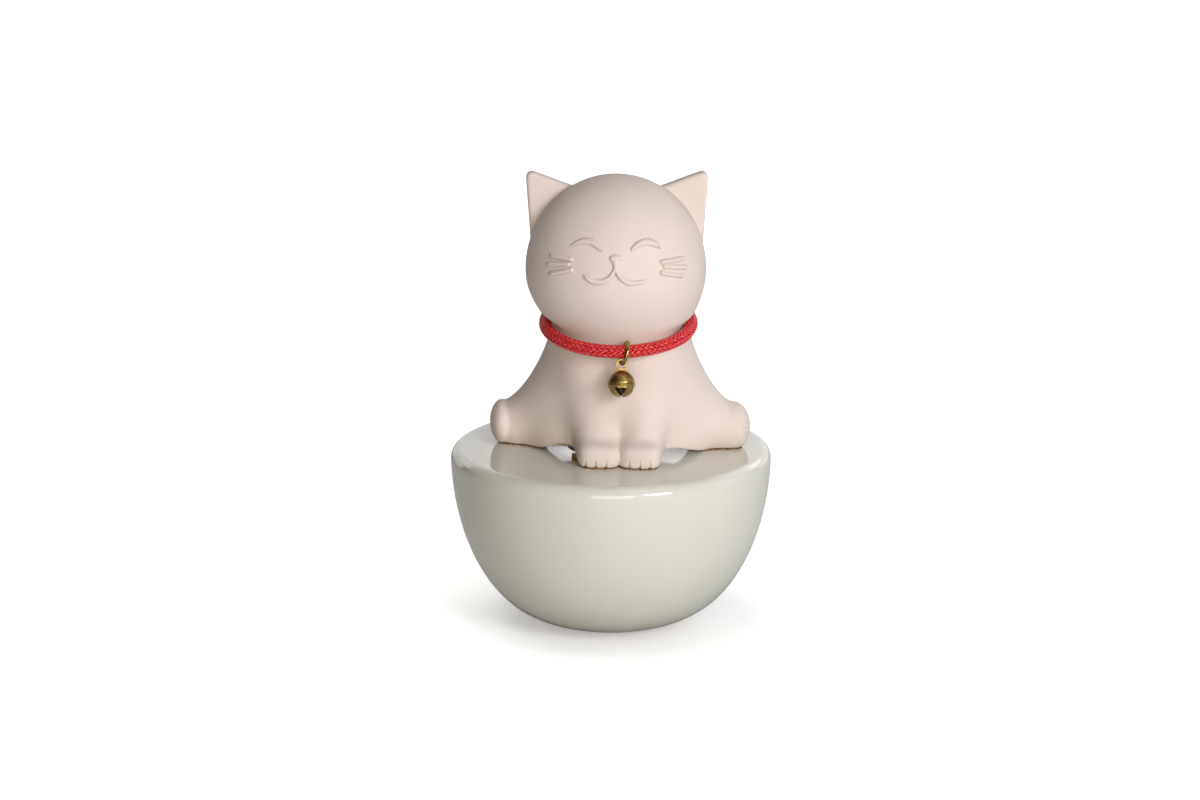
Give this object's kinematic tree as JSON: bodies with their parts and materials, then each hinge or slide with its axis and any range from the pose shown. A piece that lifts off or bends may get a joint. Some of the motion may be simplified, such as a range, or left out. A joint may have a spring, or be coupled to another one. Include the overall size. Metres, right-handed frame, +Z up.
{
  "type": "cat figurine on a round-bottomed base",
  "caption": "Bisque porcelain sitting cat glued to a celadon-glazed, round-bottomed tumbler base, with a red braided collar and a brass jingle bell.",
  "frame": {"origin": "centre of the small flat foot under the base", "axes": "+Z up; the cat faces -Y; +X is to the right as seen from the front"},
  "size_m": [0.094, 0.094, 0.1333],
  "materials": {
    "celadon_glaze": "gloss",
    "bisque": "matte",
    "cast_weight": "matte",
    "plaster": "matte",
    "stopper": "matte",
    "adhesive": "gloss",
    "red_braid": "matte",
    "red_thread": "matte",
    "aged_brass": "satin",
    "pellet_steel": "satin"
  },
  "bodies": {
    "figurine": {"base_shell": "celadon_glaze", "counterweight": "cast_weight", "weight_bedding": "plaster", "hole_plug": "stopper", "cat_figure": "bisque", "paw_glue_left": "adhesive", "paw_glue_right": "adhesive", "hind_glue_left": "adhesive", "hind_glue_right": "adhesive", "rump_glue": "adhesive"},
    "collar": {"collar_cord": "red_braid", "cord_binding": "red_thread"},
    "ring": {"jump_ring": "aged_brass"},
    "bell": {"bell_eye": "aged_brass", "bell_cap": "aged_brass", "bell_cup": "aged_brass"},
    "pellet": {"bell_pellet": "pellet_steel"}
  },
  "joints": [
    {"name": "collar_turn", "type": "hinge", "parent": "figurine", "child": "collar", "pos_m": [0.0021, -0.0046, 0.09025], "axis": [0, -0.1805, 0.9836], "range_deg": [-17, 6]},
    {"name": "ring_swing", "type": "hinge", "parent": "collar", "child": "ring", "pos_m": [0.00393, -0.02518, 0.08647], "axis": [-0.9962, -0.0857, -0.0157], "range_deg": [0, 70]},
    {"name": "bell_swing", "type": "hinge", "parent": "ring", "child": "bell", "pos_m": [0.00294, -0.02537, 0.08307], "axis": [0, -1, 0], "range_deg": [-25, 25]},
    {"name": "pellet_roll", "type": "hinge", "parent": "bell", "child": "pellet", "pos_m": [0.00294, -0.02659, 0.07748], "axis": [0, 0.9744, -0.225], "range_deg": [-50, 50]}
  ]
}
